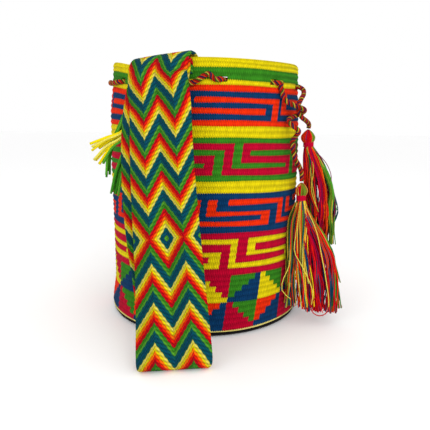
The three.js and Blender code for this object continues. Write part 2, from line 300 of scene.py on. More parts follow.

# %% [markdown]
# ## Bending a flat grid
# Nearly every piece here starts as a flat grid or a straight tube, is coloured and marked while it
# is flat, and is then moved into shape point by point. These helpers do the shared part: finishing
# a mesh as an object at the origin, with its dye, the shade painted into its grooves and its UV map.

# %% Mesh helpers
def finished(name, bm, material, body, dyes, painted_shades=None):
    """A bmesh made an object: one dye for each face, one painted shade value for each point."""
    mesh = bpy.data.meshes.new(name)
    bmesh.ops.recalc_face_normals(bm, faces=bm.faces)
    for face in bm.faces:
        face.smooth = True
    bm.to_mesh(mesh)
    bm.free()
    dye_layer = mesh.attributes.new("dye", "FLOAT_COLOR", "FACE")
    dye_layer.data.foreach_set("color", [x for colour in dyes for x in colour])
    painted_shade_layer = mesh.attributes.new("painted_shade", "FLOAT", "POINT")
    painted_shade_layer.data.foreach_set("value", painted_shades or [0.0] * len(mesh.vertices))
    mesh.materials.append(material)
    piece = bpy.data.objects.new(name, mesh)
    bpy.context.scene.collection.objects.link(piece)
    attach(piece, body)
    triangles = sum(len(p.vertices) - 2 for p in mesh.polygons)
    print(name, len(mesh.vertices), "points,", triangles, "triangles")
    return piece


def smoothstep(x, low, high):
    t = min(max((x - low) / (high - low), 0), 1)
    return t * t * (3 - 2 * t)


def around(angle, radius, height):
    """A point at an angle in degrees round the bag, counted from the front towards +x."""
    a = math.radians(angle)
    return Vector((radius * math.sin(a), -radius * math.cos(a), height))


# %% [markdown]
# ## A soft wall
# A bag of yarn is never a true cylinder. Its rim stands up at both sides and is pulled down where
# the strap hangs from it, and its wall stands in a little on the left. The cord and the wall share
# these rules, so the cord stays in its eyelets.

# %% Soft shape
HEIGHT = 322
EYELET_HEIGHT = 299


def near(angle, place, spread):
    """1 where an angle is at a place round the bag, falling to 0 away from it."""
    gap = (angle - place + 180) % 360 - 180
    return math.exp(-((gap / spread) ** 2))


# where round the bag, how wide, and how far the rim rises there
RIM_PEAKS = [(-80, 28, 4.5), (78, 26, 4), (-38, 16, -5.5), (159.5, 18, -4)]
LIFT_START = 200
RAISED_EYELET, RAISED_BY, RAISED_SPREAD = -79.3, 4.4, 22
FOOT_SINK, SIDE_SINK = 1.8, 4.0
LEFT_INSET, LEFT_RIM_INSET, RIGHT_RIM_INSET, FOOT_BULGE = 3.5, 3, 2, 4.5


def rim_shift(angle):
    """How far the rim stands above its plane, in millimetres."""
    return sum(rise * near(angle, place, spread) for place, spread, rise in RIM_PEAKS)


def lift(angle, z):
    """How far the rim's shift carries the wall up or down at a height."""
    return rim_shift(angle) * smoothstep(z, LIFT_START, HEIGHT)


def eyelet_height(angle):
    return EYELET_HEIGHT + RAISED_BY * near(angle, RAISED_EYELET, RAISED_SPREAD)


def settle(angle, z):
    """How far the wall has sunk: its lowest rounds in front, its middle at the right."""
    right = near(angle, 85, 40)
    foot = FOOT_SINK * smoothstep(z, 0, 6.5) * (1 - smoothstep(z, 8, 70)) * (1 - right)
    side = SIDE_SINK * near(angle, 72, 34)
    return foot + side * smoothstep(z, 20, 75) * (1 - smoothstep(z, 130, 280))


def inset(angle, z):
    """How far the wall stands in from a true circle, in millimetres: less than 0 where it bulges."""
    side = LEFT_INSET * near(angle, -88, 38) * smoothstep(z, 10, 50)
    side *= 1 - 0.8 * math.exp(-(((z - 270) / 25) ** 2))
    rim = LEFT_RIM_INSET * near(angle, -90, 35) * smoothstep(z, 200, 300)
    rim += RIGHT_RIM_INSET * near(angle, 85, 30) * smoothstep(z, 220, 310)
    bulge = FOOT_BULGE * near(angle, 78, 36) * (1 - smoothstep(z, 40, 110))
    return side + rim - bulge


print("rim height at the left, front and right", [round(HEIGHT + rim_shift(a), 1) for a in (-80, -38, 78)])

# %% [markdown]
# ## A smooth line through stations
# The cord, the strap and every tassel follow a smooth line through a few listed stations. The
# line is a Catmull-Rom spline with centripetal spacing, which passes through each station and makes
# no loops between stations that are close together.

# %% Smooth lines
def spline_point(points, t):
    last = len(points) - 1
    i = min(int(last * t), last - 1)
    w = last * t - i
    b, c = points[i], points[i + 1]
    a = points[i - 1] if i > 0 else 2 * b - c
    d = points[i + 2] if i + 2 <= last else 2 * c - b
    ab, bc, cd = (max((q - p).length, 1e-9) ** 0.5 for p, q in ((a, b), (b, c), (c, d)))
    start = ((b - a) / ab - (c - a) / (ab + bc) + (c - b) / bc) * bc
    end = ((c - b) / bc - (d - b) / (bc + cd) + (d - c) / cd) * bc
    bend = -3 * b + 3 * c - 2 * start - end
    return b + start * w + bend * w * w + (2 * b - 2 * c + start + end) * w ** 3


def even_line(points, count):
    """count + 1 points along the spline, the same distance apart, and its length."""
    fine = [spline_point(points, i / (len(points) * 12)) for i in range(len(points) * 12 + 1)]
    reached = [0.0]
    for p, q in zip(fine, fine[1:]):
        reached.append(reached[-1] + (q - p).length)
    line = []
    for k in range(count + 1):
        wanted = reached[-1] * k / count
        i = min(max(bisect.bisect_left(reached, wanted), 1), len(fine) - 1)
        share = (wanted - reached[i - 1]) / max(reached[i] - reached[i - 1], 1e-12)
        line.append(fine[i - 1].lerp(fine[i], share))
    return line, reached[-1]


def carried_frames(line):
    """For each point of a line, its direction and one sideways direction that never twists."""
    ways = [(line[min(i + 1, len(line) - 1)] - line[max(i - 1, 0)]).normalized() for i in range(len(line))]
    side = ways[0].orthogonal().normalized()
    sides = []
    for way in ways:
        side = (side - way * side.dot(way)).normalized()
        sides.append(side)
    return [(p, side, way.cross(side)) for p, side, way in zip(line, sides, ways)]


_, check_length = even_line([Vector((0, 0, 0)), Vector((0.1, 0, 0)), Vector((0.1, 0.1, 0))], 10)
print("a test line of", round(check_length, 3), "m")

# %% [markdown]
# ## The drawcord
# The cord that closes the mouth is about 6 mm thick: six yarns in five colours twisted like a
# rope. It is one length, from the upper tassel up through a loose knot, in and out of twelve
# eyelets, and back down through the knot to the lower tassel. It runs straight through each eyelet,
# so its bends there are tight, as they are on a soft cord. The free line comes first, since every
# other piece has to leave room for it.

# %% Eyelets and the cord's line
EYELETS = 12
FIRST_EYELET = 70.7
SPACING = 360 / EYELETS
CORD_DIAMETER = 5.8 * MM
INSIDE, THROUGH, OUTSIDE, SLACK_INSIDE = 117.8, 123.6, 129.2, 116
CROSSING, BEND_EASE, SLACK_DROP = (-4.6, -2, 0, 2, 4.6), 1.4, 1.5
USUAL_HEIGHTS, UNDER_STRAP_HEIGHTS = (298, 297.4, 298), (295.8, 295, 304)
FRONT_STRETCH = 9

UPPER_TAIL = [
    (133.5, -48.8, 248.9), (133.6, -50.4, 252.6), (128.1, -61.9, 257), (119.6, -73.4, 261.5),
    (115.6, -76.8, 266.5), (114, -78.6, 274), (117.7, -72.5, 282), (123, -61.4, 289.5),
    (123.2, -53.6, 295.8), (119.2, -50.4, 298.6),
]
LOWER_TAIL = [
    (90.4, -91.4, 296.6), (92.2, -91.4, 290), (95.2, -91.3, 281.5), (101.7, -89.8, 276.8),
    (111, -86.9, 273.4), (120, -83.1, 270.4), (121.5, -74.2, 267.6), (113, -69.8, 263),
    (104.2, -77.9, 259.4), (102.6, -86.1, 254.6), (108.5, -90.4, 249.6), (114.5, -86.6, 244.4),
    (112.4, -81, 239), (108.4, -80.7, 232.6), (109, -82.6, 225), (111.7, -81, 214),
    (120.9, -70.9, 200), (124, -66.4, 191), (124.8, -66, 182.9),
]


def laced(angle, radius, height):
    """A point of the cord's line, which follows the wall where that stands in."""
    return around(angle, radius - inset(angle, height), height)


def through_eyelet(angle, goes_in):
    radii = [OUTSIDE, OUTSIDE - BEND_EASE, THROUGH, INSIDE + BEND_EASE, INSIDE]
    if not goes_in:
        radii.reverse()
    height = eyelet_height(angle)
    return [laced(angle + step, r, height) for step, r in zip(CROSSING, radii)]


def after_eyelet(angle, is_inside, heights):
    if is_inside:
        middle = angle + SPACING / 2
        return [laced(middle, SLACK_INSIDE, eyelet_height(middle) - SLACK_DROP)]
    places = [angle + SPACING * (i + 1) / 4 for i in range(3)]
    return [laced(a, OUTSIDE + 0.2, h + eyelet_height(a) - EYELET_HEIGHT) for a, h in zip(places, heights)]


cord_stations = [Vector(p) for p in UPPER_TAIL]
for i in range(EYELETS):
    angle = FIRST_EYELET + SPACING * i
    cord_stations += through_eyelet(angle, i % 2 == 0)
    if i < EYELETS - 1:
        heights = UNDER_STRAP_HEIGHTS if i == FRONT_STRETCH else USUAL_HEIGHTS
        cord_stations += after_eyelet(angle, i % 2 == 0, heights)
cord_stations += [Vector(p) for p in LOWER_TAIL]
cord_line, cord_length = even_line([p * MM for p in cord_stations], 880)
print("the drawcord is", round(cord_length, 4), "m long")

# %% [markdown]
# The rope's twist is real geometry. A flat grid is rolled into a tube whose cross-section has six
# soft lobes, one for each yarn, and the section turns as it goes along. Each grid row knows its
# place along the cord and each column its place around it, so the yarns are coloured while flat.

# %% The twisted tube
ROPE_SIDES = 24
ROPE_PITCH = 11 * MM
ROPE_YARNS = [CRIMSON, OCHRE, MOSS, CRIMSON, RUST, NAVY]
ROPE_TONES = random.Random(4)
ROWS_PER_TONE = 8


def flat_grid(columns, rows):
    """A grid whose points are at whole numbers: x from 0 to columns, y from 0 to rows."""
    bm = bmesh.new()
    bmesh.ops.create_grid(bm, x_segments=columns, y_segments=rows, size=0.5)
    for v in bm.verts:
        v.co = Vector((round((v.co.x + 0.5) * columns), round((v.co.y + 0.5) * rows), 0))
    return bm


def write_uv(bm, place):
    """Gives each face corner the UV that a function makes from its flat place."""
    layer = bm.loops.layers.uv.new("yarn")
    for face in bm.faces:
        for loop in face.loops:
            loop[layer].uv = place(loop.vert.co)


def twisted_rope(name, line, diameter, pitch, yarns, body):
    length = sum((q - p).length for p, q in zip(line, line[1:]))
    rows = len(line) - 1
    lobes = len(yarns)
    bm = flat_grid(ROPE_SIDES, rows)
    step = length / rows
    write_uv(bm, lambda co: (co.y * step, co.x / ROPE_SIDES * lobes))
    yarn_of = bm.faces.layers.int.new("yarn_of")
    row_of = bm.faces.layers.int.new("row_of")
    for face in bm.faces:
        middle = face.calc_center_median()
        face[yarn_of] = int(middle.x / ROPE_SIDES * lobes)
        face[row_of] = int(middle.y)
    frames = carried_frames(line)
    height = bm.verts.layers.float.new("low")
    for v in bm.verts:
        point, side, up = frames[int(v.co.y)]
        lobe = abs(math.sin(math.pi * lobes * v.co.x / ROPE_SIDES))
        v[height] = 1 - lobe
        turn_here = 2 * math.pi * (v.co.x / ROPE_SIDES + v.co.y * step / pitch)
        radius = diameter / 2 * (0.80 + 0.24 * lobe ** 0.7)
        v.co = point + (side * math.cos(turn_here) + up * math.sin(turn_here)) * radius
    bmesh.ops.remove_doubles(bm, verts=bm.verts, dist=1e-7)
    bmesh.ops.holes_fill(bm, edges=[e for e in bm.edges if e.is_boundary], sides=0)
    # Painted shade: the grooves between the rope's yarns get a darker dye in the material.
    low = [v[height] ** 3 for v in bm.verts]
    tones = [[0.6 + 0.5 * ROPE_TONES.random() for _ in range(rows // ROWS_PER_TONE + 2)] for _ in yarns]
    dyes = []
    for face in bm.faces:
        yarn, place = face[yarn_of], face[row_of] / ROWS_PER_TONE
        start, end = tones[yarn][int(place)], tones[yarn][int(place) + 1]
        tone = start + (end - start) * (place % 1)
        dyes.append(tuple(min(c * tone, 1) for c in yarns[yarn][:3]) + (1.0,))
    return finished(name, bm, BRAID, body, dyes, low)


drawcord = twisted_rope("laced_drawcord", cord_line, CORD_DIAMETER, ROPE_PITCH, ROPE_YARNS, "bag")
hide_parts("drawcord")

# %% [markdown]
# ## The crochet chart
# The wall is worked round and round in single crochet: 300 stitches to a round and 47 rounds high.
# Colour changes happen stitch by stitch, so the pattern is a chart of whole stitches, like squared
# paper. It is written here as rules rather than as a picture. Rows are counted up from the base and
# their heights vary a little with how tightly each was worked. Each stitch sits a little to the
# right of the one below, so the columns of stitches lean as they climb, by a drift for every row.

# %% Row heights
BASE_LINE = 9.56
ROW_TOPS = (
    [9.56 + 6.88 * k for k in range(1, 6)] + [43.99 + 6.61 * k for k in range(1, 6)]
    + [85.5, 92.1, 100.1, 105.2, 114.6, 120.9, 128.0, 135.8, 142.0, 147.9, 153.0, 160.6, 167.0, 174.2]
    + [181.1, 188.0, 194.4, 202.8, 208.2, 216.9, 222.8, 230.7, 236.6, 243.0, 249.3, 255.7, 262.4]
    + [268.9, 274.6, 280.5, 286.9, 293.6, 299.1, 305.7, 312.2, 317.1, 321.4]
)
STITCHES = 300
STITCH_ANGLE = 360 / STITCHES
DRIFT = 0.43
PATTERN_TURN = -2.4
print(len(ROW_TOPS), "rows, the last one at", ROW_TOPS[-1], "mm")

# %% [markdown]
# Plain rows have one colour. Four bands carry a stepped meander: each is a few straight runs that
# repeat round the bag, listed by the rows they cover, counted down from the top of their band, and
# by the angles where they begin and end. The lowest ten rows are stepped triangles in a cell 30
# stitches wide.

# %% Chart rules
PLAIN_ROWS = {
    16: MAGENTA, 24: YELLOW, 25: YELLOW, 26: GREEN, 32: GREEN, 33: YELLOW, 34: YELLOW,
    35: ORANGE, 41: ORANGE, 42: YELLOW, 43: GREEN, 44: GREEN, 45: YELLOW, 46: YELLOW,
}
# top row, rows, repeat in degrees, ground, figure, runs of (first row, last row, from, to)
MEANDERS = [
    (40, 5, 60, BLUE, ORANGE,
     [(1, 1, -6, 42.3), (1, 4, 37.5, 42.3), (0, 3, -14.4, -10.5), (3, 3, -14.4, 33.2)]),
    (31, 5, 360 / 7, MAGENTA, GREEN,
     [(0, 3, 14.2, 18.8), (3, 3, 14.2, 51.2), (1, 1, 23.4, 60.1), (1, 4, 3.8, 8.7)]),
    (23, 7, 360 / 7, BLUE, ORANGE,
     [(1, 3, 0.5, 5.4), (3, 3, 0.5, 37), (3, 5, 32, 37), (5, 5, -8.2, 37), (1, 1, 10.6, 48),
      (1, 5, 43.2, 48)]),
    (15, 6, 360 / 7, MAGENTA, YELLOW,
     [(0, 0, 22, 68), (0, 4, 12.3, 16.6), (4, 4, 12.3, 59.1), (2, 4, 2.2, 7.7), (2, 2, 22, 59.1),
      (0, 2, 22, 27)]),
]
CELL_CENTRE = 29
CELL_STITCHES = 30


def meander_colour(row, angle):
    for top, rows, repeat, ground, figure, runs in MEANDERS:
        down = top - row
        if 0 <= down < rows:
            angle += DRIFT * (top - (rows - 1) / 2) + PATTERN_TURN
            for first, last, start, end in runs:
                if first <= down <= last and (angle - start) % repeat < end - start:
                    return figure
            return ground
    return None


def triangle_colour(row, angle):
    angle += DRIFT * 4.5 + PATTERN_TURN
    offset = (angle - CELL_CENTRE) / STITCH_ANGLE + CELL_STITCHES / 2
    even = int(offset // CELL_STITCHES) % 2 == 0
    side = offset % CELL_STITCHES - CELL_STITCHES / 2
    if row >= 5:
        if abs(side) < 3 * (10 - row):
            return BLUE if side < 0 else YELLOW
        return GREEN if even else MAGENTA
    if abs(side) < 3 * row:
        return GREEN if even and side < 0 else ORANGE
    return MAGENTA if side < 0 else BLUE


def chart(row, stitch):
    angle = (stitch + 0.5) * STITCH_ANGLE
    if row < 10:
        return triangle_colour(row, angle)
    return PLAIN_ROWS.get(row) or meander_colour(row, angle)


print("front stitch of each tenth row", [round(chart(row, 0)[0], 2) for row in range(0, 47, 10)])

# %% [markdown]
# ## The wall's section
# A line drawn once from the middle of the base out to the corner, up the wall, over the rim and
# back down inside says how far each half row is from the bag's axis and how high. Each step of it
# also says which crochet row it belongs to, and how far its middle stands proud of its edges.

# %% Section stations
RADIUS, WALL, CORNER = 128, 4, 6
TAPER_START, RIM_TAPER = 200, 3
# The whole base, the rounded foot up to 8.2 mm and the floor inside are dyed near-black; a cream round
# lies above.
BLACK_BASE, CREAM_ROUND = 100, 101
PROUD = 1.05


def wall_radius(z):
    if z < CORNER:
        return RADIUS - CORNER + math.sqrt(CORNER ** 2 - (CORNER - z) ** 2)
    return RADIUS - RIM_TAPER * max(z - TAPER_START, 0) / (HEIGHT - TAPER_START)


section = []  # radius, height, proud, row of the step that starts here, rows climbed


def station(radius, height, proud, row, climbed=0.0):
    section.append((radius, height, proud, row, climbed))


for radius in (0, 28, 57, 86):
    station(radius, 0, 0, BLACK_BASE)
for slope in (-90, -65, -40):
    a = math.radians(slope)
    station(RADIUS - CORNER + CORNER * math.cos(a), CORNER + CORNER * math.sin(a), 0, BLACK_BASE)
station(wall_radius(6.8), 6.8, 0, BLACK_BASE)
station(wall_radius(8.2), 8.2, 0.5, CREAM_ROUND)
bottom = BASE_LINE
for row, top in enumerate(ROW_TOPS):
    station(wall_radius(bottom), bottom, 0, row, row)
    middle = (bottom + top) / 2
    station(wall_radius(middle), middle, PROUD, row, row + 0.5)
    bottom = top
TOP_ROW = len(ROW_TOPS) - 1
station(wall_radius(321.4), 321.4, 0, TOP_ROW, TOP_ROW + 1)
station(124.2, 322.3, 0, TOP_ROW, TOP_ROW + 1)
station(121.6, 322.3, 0, TOP_ROW, TOP_ROW + 1)
for row in range(TOP_ROW, -1, -1):
    inner = wall_radius(ROW_TOPS[row]) - WALL
    station(inner, ROW_TOPS[row], 0, row, row + 1)
    if 41 <= row <= 44:
        middle = (ROW_TOPS[row] + ROW_TOPS[row - 1]) / 2
        station(wall_radius(middle) - WALL, middle, 0, row, row + 0.5)
for radius, height in ((120.5, 7.5), (112, 4), (80, 4), (40, 4), (0, 4)):
    station(radius, height, 0, BLACK_BASE)
OUTER_STEPS = 9 + 2 * len(ROW_TOPS)
print(len(section), "stations round the section")

# %% [markdown]
# ## Rolling up the chart
# The chart becomes a mesh in one go: a grid with two columns for each stitch and a row for each
# step of the section, which is then rolled round the axis. The middle of every stitch stands
# proud, the edge between two rows zigzags because each stitch locks into the one below, and the
# middles lean a little, as crochet does. The seam and the two poles are closed by merging points.

# %% The crochet shell
COLUMNS = STITCHES * 2
TOOTH = 0.62
LEAN = 0.34
# How much shade is painted along the edges between rows and between stitches.
ROW_PAINTED_SHADE, STITCH_PAINTED_SHADE = 0.62, 0.3


def slack(angle, z):
    """How far the soft wall stands in or out of a true circle here, in millimetres."""
    free = smoothstep(z, 14, 60) * (1 - smoothstep(z, 235, 285))
    a = math.radians(angle)
    return free * (0.8 * math.sin(2 * a + 0.9 + z / 90) + 0.45 * math.sin(5 * a - z / 60))


def stitch_point(column, step):
    """Where a point of the chart goes, and how much shade is painted on it between stitches."""
    radius, height, proud, row, climbed = section[step]
    angle = column * STITCH_ANGLE / 2 + DRIFT * climbed
    on_wall = 0 < step < len(section) - 1 and radius > 100
    is_outside = step <= OUTER_STEPS
    middle_of_stitch = column % 2
    painted_shade = 0.0
    if on_wall and is_outside and height > 5:
        height += TOOTH * (1 if middle_of_stitch else -1) * (1 if proud == 0 else 0.3)
        height += 0.35 * math.sin(math.radians(angle * 7) + step)
        radius += proud * (1.0 if middle_of_stitch else 0.45) - (0.25 if proud == 0 else 0)
        angle -= LEAN * (STITCH_ANGLE if proud else 0)
        # Painted shade: darkest along the edges between rows, less between stitches, none on a stitch's
        # middle.
        painted_shade = ROW_PAINTED_SHADE if proud == 0 else STITCH_PAINTED_SHADE * (1 - middle_of_stitch)
    if on_wall:
        radius += slack(angle, height) - inset(angle, height)
        height += lift(angle, height) - settle(angle, height)
    return around(angle, radius, height), painted_shade


bag = flat_grid(COLUMNS, len(section) - 1)
write_uv(bag, lambda co: (co.x / 2, co.y / 2))
row_layer = bag.faces.layers.int.new("row")
stitch_layer = bag.faces.layers.int.new("stitch")
for face in bag.faces:
    middle = face.calc_center_median()
    face[row_layer] = section[int(middle.y)][3]
    face[stitch_layer] = int(middle.x) // 2
print("the flat chart has", len(bag.faces), "faces")

# %% [markdown]
# The eyelets are gaps left between stitches: four stitches wide and one row tall. They are opened in
# the flat chart, in the outer and the inner wall at once, and the two openings are bridged so that
# the wall keeps its thickness there.

# %% Eyelets and rolling
EYELET_STITCHES = 4
EYELET_ROW = 43.5


def eyelet_rows(angle, steps):
    """The two steps of the section nearest an eyelet's height, once the rim has dipped there."""
    def miss(step):
        height = section[step][1]
        return abs(height + lift(angle, height) - eyelet_height(angle))
    nearest = min(steps, key=miss)
    return (nearest - 1, nearest)


outer_steps = [i for i, s in enumerate(section) if i < OUTER_STEPS and s[1] > 290]
inner_steps = [i for i, s in enumerate(section) if i > OUTER_STEPS + 3 and 290 < s[1] < 310]
openings = {}
for i in range(EYELETS):
    angle = FIRST_EYELET + SPACING * i
    centre = round((angle - DRIFT * EYELET_ROW) / STITCH_ANGLE * 2) % COLUMNS
    columns = {(centre + k) % COLUMNS for k in range(-EYELET_STITCHES, EYELET_STITCHES)}
    for steps in (outer_steps, inner_steps):
        for step in eyelet_rows((angle + 180) % 360 - 180, steps):
            for column in columns:
                openings[(column, step)] = i
gone = []
for face in bag.faces:
    middle = face.calc_center_median()
    if (int(middle.x), int(middle.y)) in openings:
        gone.append(face)
bmesh.ops.delete(bag, geom=gone, context="FACES")
painted_shade_layer = bag.verts.layers.float.new("low")
for v in bag.verts:
    v.co, v[painted_shade_layer] = stitch_point(int(v.co.x), int(v.co.y))
bmesh.ops.remove_doubles(bag, verts=bag.verts, dist=1e-4)
print(len(gone), "faces opened,", sum(e.is_boundary for e in bag.edges), "edges left round them")

# %% Bridging the eyelets
for i in range(EYELETS):
    angle = FIRST_EYELET + SPACING * i
    centre = laced(angle, 124, eyelet_height(angle))
    rim = [e for e in bag.edges if e.is_boundary and (e.verts[0].co - centre).length < 14]
    for face in bmesh.ops.bridge_loops(bag, edges=rim)["faces"]:
        face[row_layer] = int(EYELET_ROW)
bmesh.ops.scale(bag, vec=(MM, MM, MM), verts=bag.verts)
print(sum(e.is_boundary for e in bag.edges), "open edges after bridging")

# %% [markdown]
# No two stitches take the light quite alike, so each gets its dye a touch lighter or darker. The
# painted shade, by which the material darkens the dye, is highest where two rows meet.

# %% Dyeing the stitches
chance = random.Random(7)
stitch_tone = {}


def stitch_dye(row, stitch):
    key = (row, stitch)
    if key not in stitch_tone:
        stitch_tone[key] = 0.86 + 0.2 * chance.random()
    colour = {BLACK_BASE: BLACK, CREAM_ROUND: CREAM}.get(row) or chart(row, stitch)
    return tuple(min(c * stitch_tone[key], 1) for c in colour[:3]) + (1.0,)


dyes = [stitch_dye(face[row_layer], face[stitch_layer]) for face in bag.faces]
painted_shades = [v[painted_shade_layer] for v in bag.verts]
crochet_bag = finished("crochet_bag", bag, CROCHET, "bag", dyes, painted_shades)
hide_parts("bag_body")

# %% [markdown]
# ## The strap, woven flat
# The strap is a thick band of twisted cords that run in zigzags, so its colours make chevrons. It
# is made the way it is worn: first the flat band, then the drape. The grid's rows follow the cords,
# by shearing a plain grid into zigzags, so that every cord can be a real ridge and every colour
# change lies exactly between two cords. The pattern mirrors at a row of diamonds. So half of the
# band is sheared, cut straight along the mirror line, and then copied to the other side.

# %% Strap pattern
STRAP_WIDTH = 71
STRAP_THICKNESS = 3.2
CORD_STEP = 4.04
CHEVRON_RISE = 27.5
CHEVRONS = [TEAL, PETROL, TEAL, STRAW, YELLOW, AMBER, SCARLET, CRIMSON, GREEN, LEAF]
print("one chevron repeat is", CORD_STEP * len(CHEVRONS), "mm")


# %% The strap's route
SEAM_RADIUS = 127.5
FRONT = -20.5
FOLD_STATION, FOLD_SPREAD, FOLD_SWELL = 16, 1.8, 0.1


def over_mouth(distance, height, tilt=0, cup=0):
    return (around(FRONT, distance, height), FRONT, tilt, cup)


def hanging(x, y, z, turn, cup=0, tilt=0):
    return (Vector((x, y, z)), turn, tilt, cup)


STRAP_ROUTE = [
    over_mouth(SEAM_RADIUS, 304.5, 3, 1), over_mouth(SEAM_RADIUS, 310.5, 4, 1),
    over_mouth(SEAM_RADIUS + 0.8, 314, 5, 1), over_mouth(130.6, 316.6, 5, 1),
    over_mouth(133.4, 313.6, 5, 1), over_mouth(134.4, 306, 5, 0.9),
    hanging(-52.5, -130.5, 281, -20, 0.6, 3), hanging(-55, -137, 240, -17, 0.3),
    hanging(-52, -147, 190, -12, 0.1), hanging(-46, -157, 140, -6), hanging(-37, -168, 90, -1),
    hanging(-29, -180, 45, 4), hanging(-25.5, -189.5, 18, 7), hanging(-24.5, -195, 6, 8),
    hanging(-24, -201, 1.9, 8), hanging(-23.5, -207, 5.5, 8), hanging(-23.5, -208, 14, 8),
    hanging(-25.5, -199.5, 40, 6), hanging(-29, -186.5, 80, 2), hanging(-34, -172.5, 130, -3),
    hanging(-39, -158.5, 180, -9), hanging(-42.5, -148.5, 225, -14, 0.1),
    hanging(-45, -140.5, 270, -18, 0.35), over_mouth(141.2, 302, 4, 0.7),
    over_mouth(138.8, 313, 5, 0.8), over_mouth(134.6, 319.6, 5, 0.8),
    over_mouth(129, 322.8, 5, 0.7), over_mouth(123, 323.8, 5, 0.5),
    over_mouth(115.5, 323.2, 5, 0.3), over_mouth(105, 319.4, 4, 0.1), over_mouth(80, 311.5, 2),
    over_mouth(40, 304), over_mouth(0, 301.5), over_mouth(-40, 303.5), over_mouth(-80, 310.5),
    over_mouth(-105, 318, 0, 0.2), over_mouth(-116, 322.2, 0, 0.6),
    over_mouth(-122.4, 323.6, 0, 1), over_mouth(-126.2, 322, 0, 1),
    over_mouth(-SEAM_RADIUS, 317.4, 0, 1), over_mouth(-SEAM_RADIUS, 311, 0, 1),
    over_mouth(-SEAM_RADIUS, 304.5, 0, 1),
]


def strap_frame(t):
    """The strap's middle, width direction, facing direction, cup and spread at t from 0 to 1."""
    points = [s[0] for s in STRAP_ROUTE]
    last = len(points) - 1
    i = min(int(last * t), last - 1)
    w = last * t - i
    turn, tilt, cup = (a * (1 - w) + b * w for a, b in zip(STRAP_ROUTE[i][1:], STRAP_ROUTE[i + 1][1:]))
    turn, tilt = math.radians(turn), math.radians(tilt)
    along = (spline_point(points, min(t + 1e-4, 1)) - spline_point(points, max(t - 1e-4, 0))).normalized()
    flat = Vector((math.cos(turn) * math.cos(tilt), math.sin(turn) * math.cos(tilt), math.sin(tilt)))
    across = (flat - along * flat.dot(along)).normalized()
    spread = 1 + FOLD_SWELL * math.exp(-(((last * t - FOLD_STATION) / FOLD_SPREAD) ** 2))
    return spline_point(points, t), across, along.cross(across), cup, spread


SAMPLES = 1600
strap_frames = [strap_frame(i / SAMPLES) for i in range(SAMPLES + 1)]
strap_reach = [0.0]
for (p, *_), (q, *_) in zip(strap_frames, strap_frames[1:]):
    strap_reach.append(strap_reach[-1] + (q - p).length)
STRAP_LENGTH = strap_reach[-1]
print("the strap is", round(STRAP_LENGTH, 1), "mm long")

# %% [markdown]
# Every other column is shifted a little, so that two colours meet in small teeth, as twisted
# cords do. Four grid rows make one cord: they sit in the groove, on its shoulder, on its crown and on the
# other shoulder. After the shear, one cut at the mirror line and one at the strap's end leave a
# half band with clean edges, and bmesh's mirror gives the other half.

# %% Weaving the flat band
DIAMOND_PLACE = 484.6
ROWS_PER_CORD = 4
STRAP_COLUMNS = 40
TOOTH_REACH = 0.55
row_step = CORD_STEP / ROWS_PER_CORD


def zigzag(x):
    """How far the cords have fallen at x: nothing in the middle and at the edges, most between."""
    share = abs(x) / (STRAP_WIDTH / 2)
    return CHEVRON_RISE * (1 - abs(2 * share - 1))


def woven_half(length):
    """The band from the mirror line at y = 0 to y = length, flat, with its cords marked."""
    rows = math.ceil((length + CHEVRON_RISE) / row_step)
    bm = flat_grid(STRAP_COLUMNS, rows)
    cord_of = bm.faces.layers.int.new("cord_of")
    for face in bm.faces:
        face[cord_of] = int(face.calc_center_median().y) // ROWS_PER_CORD
    for v in bm.verts:
        x = (v.co.x / STRAP_COLUMNS - 0.5) * STRAP_WIDTH
        tooth = TOOTH_REACH * (1 if int(v.co.x) % 2 else -1)
        v.co = Vector((x, v.co.y * row_step - zigzag(x) + tooth, 0))
    for edge_y, normal in ((0, (0, -1, 0)), (length, (0, 1, 0))):
        geom = bm.verts[:] + bm.edges[:] + bm.faces[:]
        bmesh.ops.bisect_plane(bm, geom=geom, dist=1e-5, plane_co=(0, edge_y, 0),
                               plane_no=normal, clear_outer=True)
    return bm


def joined(upper, lower):
    """Two half bands, the second turned over the mirror line, as one band."""
    bmesh.ops.scale(lower, vec=(1, -1, 1), verts=lower.verts)
    bmesh.ops.reverse_faces(lower, faces=lower.faces)
    scratch = bpy.data.meshes.new("half_band")
    lower.to_mesh(scratch)
    lower.free()
    upper.from_mesh(scratch)
    bpy.data.meshes.remove(scratch)
    bmesh.ops.remove_doubles(upper, verts=upper.verts, dist=0.02)
    return upper


band = joined(woven_half(STRAP_LENGTH - DIAMOND_PLACE), woven_half(DIAMOND_PLACE))
print("the flat band has", len(band.faces), "faces")

# %% [markdown]
# The band gets its second face by solidify, which also closes the edges, and only then are the
# cords raised on both faces and the band bent along its route. Where it is sewn to the bag it cups
# to the round wall.

# %% Draping the strap
cord_layer = band.faces.layers.int["cord_of"]
bmesh.ops.solidify(band, geom=band.faces[:], thickness=1.0)
middle_z = sum(v.co.z for v in band.verts) / len(band.verts)


def cord_phase(x, y):
    return ((abs(y) + zigzag(x)) / CORD_STEP) % 1


write_uv(band, lambda co: (co.x * MM * 1.8, (abs(co.y) + zigzag(co.x)) / CORD_STEP))
cord_shade_layer = band.verts.layers.float.new("low")
RIDGE = 0.55


def drape(x, y, z):
    reached = min(max(DIAMOND_PLACE + y, 0), STRAP_LENGTH)
    i = min(max(bisect.bisect_right(strap_reach, reached), 1), SAMPLES)
    share = (reached - strap_reach[i - 1]) / (strap_reach[i] - strap_reach[i - 1])
    (p, pa, pf, pc, ps), (q, qa, qf, qc, _) = strap_frames[i - 1], strap_frames[i]
    x *= ps
    middle, across, facing = p.lerp(q, share), pa.lerp(qa, share), pf.lerp(qf, share)
    cup = pc + (qc - pc) * share
    inward = Vector((-middle.x, -middle.y, 0)).normalized()
    wrap = cup * x * x / (2 * SEAM_RADIUS)
    return middle + across * x + facing * z + inward * wrap


